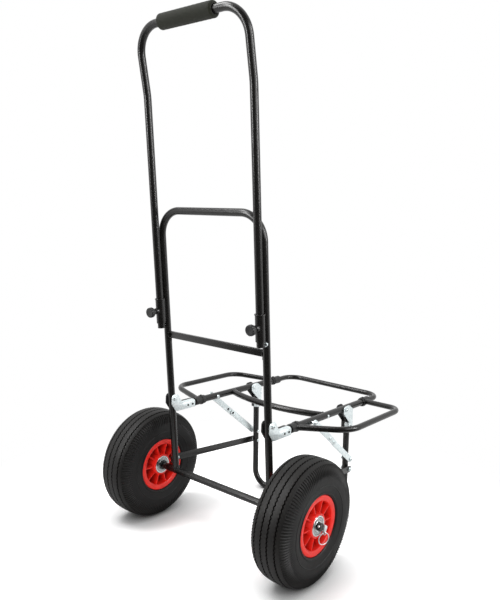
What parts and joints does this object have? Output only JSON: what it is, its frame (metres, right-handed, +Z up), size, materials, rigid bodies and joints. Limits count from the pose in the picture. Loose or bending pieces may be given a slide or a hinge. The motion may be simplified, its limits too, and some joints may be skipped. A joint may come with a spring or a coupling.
{
  "type": "fishing trolley",
  "caption": "Folding tube trolley with pneumatic tyres, a sliding handle, a platform that folds up on linked struts, and side wings, for carrying fishing tackle over rough ground.",
  "frame": {"origin": "on the ground, midway between the wheels and midway between the front bar and the back of the grip", "axes": "+X along the axle to the right seen from behind, +Y forward over the platform, +Z up"},
  "size_m": [0.5552, 0.6204, 1.1127],
  "materials": {
    "black_powder_coat": "gloss black powder coat on steel tube",
    "zinc_plate": "bright zinc plated pressed steel",
    "bearing_steel": "ground bearing ring",
    "red_rim": "moulded red plastic",
    "tyre": "moulded tyre rubber",
    "tube_rubber": "smooth inner tube rubber",
    "foam_grip": "matt closed-cell foam",
    "black_plastic": "moulded black plastic"
  },
  "bodies": {
    "mast": {"mast_frame": "black_powder_coat", "crossbar": "black_powder_coat", "axle": "black_powder_coat", "clamp_right": "black_powder_coat", "clamp_left": "black_powder_coat", "strut_tab_right": "black_powder_coat", "strut_tab_left": "black_powder_coat", "fold_bolt_right": "zinc_plate", "fold_bolt_left": "zinc_plate", "strut_rear_bolt_right": "zinc_plate", "strut_rear_bolt_left": "zinc_plate", "linch_pin_right": "zinc_plate", "linch_pin_left": "zinc_plate"},
    "handle": {"handle_tube": "black_powder_coat", "grip": "foam_grip"},
    "platform": {"rail_right": "black_powder_coat", "rail_left": "black_powder_coat", "bow_member": "black_powder_coat", "rear_bracket_right": "zinc_plate", "rear_bracket_left": "zinc_plate", "rear_liner_right": "black_plastic", "rear_liner_left": "black_plastic", "leg_hinge_bolt_right": "zinc_plate", "leg_hinge_bolt_left": "zinc_plate", "brace_top_bolt_right": "zinc_plate", "brace_top_bolt_left": "zinc_plate"},
    "loop": {"front_loop": "black_powder_coat"},
    "leg": {"front_leg": "black_powder_coat", "front_bracket_right": "zinc_plate", "front_bracket_left": "zinc_plate", "front_liner_right": "black_plastic", "front_liner_left": "black_plastic", "strut_front_bolt_right": "zinc_plate", "strut_front_bolt_left": "zinc_plate", "brace_low_bolt_right": "zinc_plate", "brace_low_bolt_left": "zinc_plate"},
    "wheel_right": {"tyre_right": "tyre", "inner_tube_right": "tube_rubber", "rim_right": "red_rim", "outer_bearing_right": "bearing_steel", "inner_bearing_right": "bearing_steel"},
    "linch_ring_right": {"linch_ring_right": "zinc_plate"},
    "knob_right": {"knob_right": "black_plastic"},
    "wing_right": {"wing_right": "black_powder_coat"},
    "strut_right": {"lower_strut_right": "black_powder_coat"},
    "upper_link_right": {"upper_link_right": "zinc_plate"},
    "lower_link_right": {"lower_link_right": "zinc_plate"},
    "wheel_left": {"tyre_left": "tyre", "inner_tube_left": "tube_rubber", "rim_left": "red_rim", "outer_bearing_left": "bearing_steel", "inner_bearing_left": "bearing_steel"},
    "linch_ring_left": {"linch_ring_left": "zinc_plate"},
    "knob_left": {"knob_left": "black_plastic"},
    "wing_left": {"wing_left": "black_powder_coat"},
    "strut_left": {"lower_strut_left": "black_powder_coat"},
    "upper_link_left": {"upper_link_left": "zinc_plate"},
    "lower_link_left": {"lower_link_left": "zinc_plate"}
  },
  "joints": [
    {"name": "handle_slide", "type": "slide", "parent": "mast", "child": "handle", "axis": [0, -0.1115, 0.9938], "range_m": [-0.34, 0]},
    {"name": "platform_fold", "type": "hinge", "parent": "mast", "child": "platform", "pos_m": [0, -0.1727, 0.31206], "axis": [1, 0, 0], "range_deg": [0, 90]},
    {"name": "loop_slide", "type": "slide", "parent": "platform", "child": "loop", "axis": [0, 1, 0], "range_m": [0, 0.06]},
    {"name": "leg_fold", "type": "hinge", "parent": "platform", "child": "leg", "pos_m": [0, 0.1183, 0.28806], "axis": [1, 0, 0], "range_deg": [-90, 0]},
    {"name": "wheel_spin_right", "type": "hinge", "parent": "mast", "child": "wheel_right", "pos_m": [0.227, -0.15228, 0.13], "axis": [1, 0, 0], "continuous": true},
    {"name": "linch_ring_swing_right", "type": "hinge", "parent": "mast", "child": "linch_ring_right", "pos_m": [0.2696, -0.13841, 0.1125], "axis": [0, -1, 0], "range_deg": [0, 110]},
    {"name": "knob_turn_right", "type": "hinge", "parent": "mast", "child": "knob_right", "pos_m": [0.1425, -0.24241, 0.51636], "axis": [0, -0.9938, -0.1115], "range_deg": [0, 360]},
    {"name": "wing_fold_right", "type": "hinge", "parent": "platform", "child": "wing_right", "pos_m": [0.1425, 0.0713, 0.28806], "axis": [0, -1, 0], "range_deg": [0, 163.9]},
    {"name": "strut_swing_right", "type": "hinge", "parent": "mast", "child": "strut_right", "pos_m": [0.1425, -0.14081, 0.15604], "axis": [1, 0, 0], "range_deg": [0, 90]},
    {"name": "upper_link_swing_right", "type": "hinge", "parent": "platform", "child": "upper_link_right", "pos_m": [0.1425, -0.0222, 0.28806], "axis": [1, 0, 0], "range_deg": [0, 47.6]},
    {"name": "lower_link_swing_right", "type": "hinge", "parent": "leg", "child": "lower_link_right", "pos_m": [0.1425, 0.14876, 0.158], "axis": [1, 0, 0], "range_deg": [-25.2, 0]},
    {"name": "wheel_spin_left", "type": "hinge", "parent": "mast", "child": "wheel_left", "pos_m": [-0.227, -0.15228, 0.13], "axis": [1, 0, 0], "continuous": true},
    {"name": "linch_ring_swing_left", "type": "hinge", "parent": "mast", "child": "linch_ring_left", "pos_m": [-0.2696, -0.13841, 0.1125], "axis": [0, 1, 0], "range_deg": [0, 110]},
    {"name": "knob_turn_left", "type": "hinge", "parent": "mast", "child": "knob_left", "pos_m": [-0.1425, -0.24241, 0.51636], "axis": [0, -0.9938, -0.1115], "range_deg": [0, 360]},
    {"name": "wing_fold_left", "type": "hinge", "parent": "platform", "child": "wing_left", "pos_m": [-0.1425, 0.0713, 0.28806], "axis": [0, 1, 0], "range_deg": [0, 168]},
    {"name": "strut_swing_left", "type": "hinge", "parent": "mast", "child": "strut_left", "pos_m": [-0.1425, -0.14081, 0.15604], "axis": [1, 0, 0], "range_deg": [0, 90]},
    {"name": "upper_link_swing_left", "type": "hinge", "parent": "platform", "child": "upper_link_left", "pos_m": [-0.1425, -0.0222, 0.28806], "axis": [1, 0, 0], "range_deg": [0, 47.6]},
    {"name": "lower_link_swing_left", "type": "hinge", "parent": "leg", "child": "lower_link_left", "pos_m": [-0.1425, 0.14876, 0.158], "axis": [1, 0, 0], "range_deg": [-25.2, 0]}
  ],
  "couplings": [
    {"joint": "leg_fold", "follows": "platform_fold", "ratio": -1},
    {"joint": "strut_swing_right", "follows": "platform_fold", "ratio": 1},
    {"joint": "upper_link_swing_right", "follows": "platform_fold", "ratio": 0.5285},
    {"joint": "lower_link_swing_right", "follows": "platform_fold", "ratio": -0.2799},
    {"joint": "strut_swing_left", "follows": "platform_fold", "ratio": 1},
    {"joint": "upper_link_swing_left", "follows": "platform_fold", "ratio": 0.5285},
    {"joint": "lower_link_swing_left", "follows": "platform_fold", "ratio": -0.2799}
  ]
}
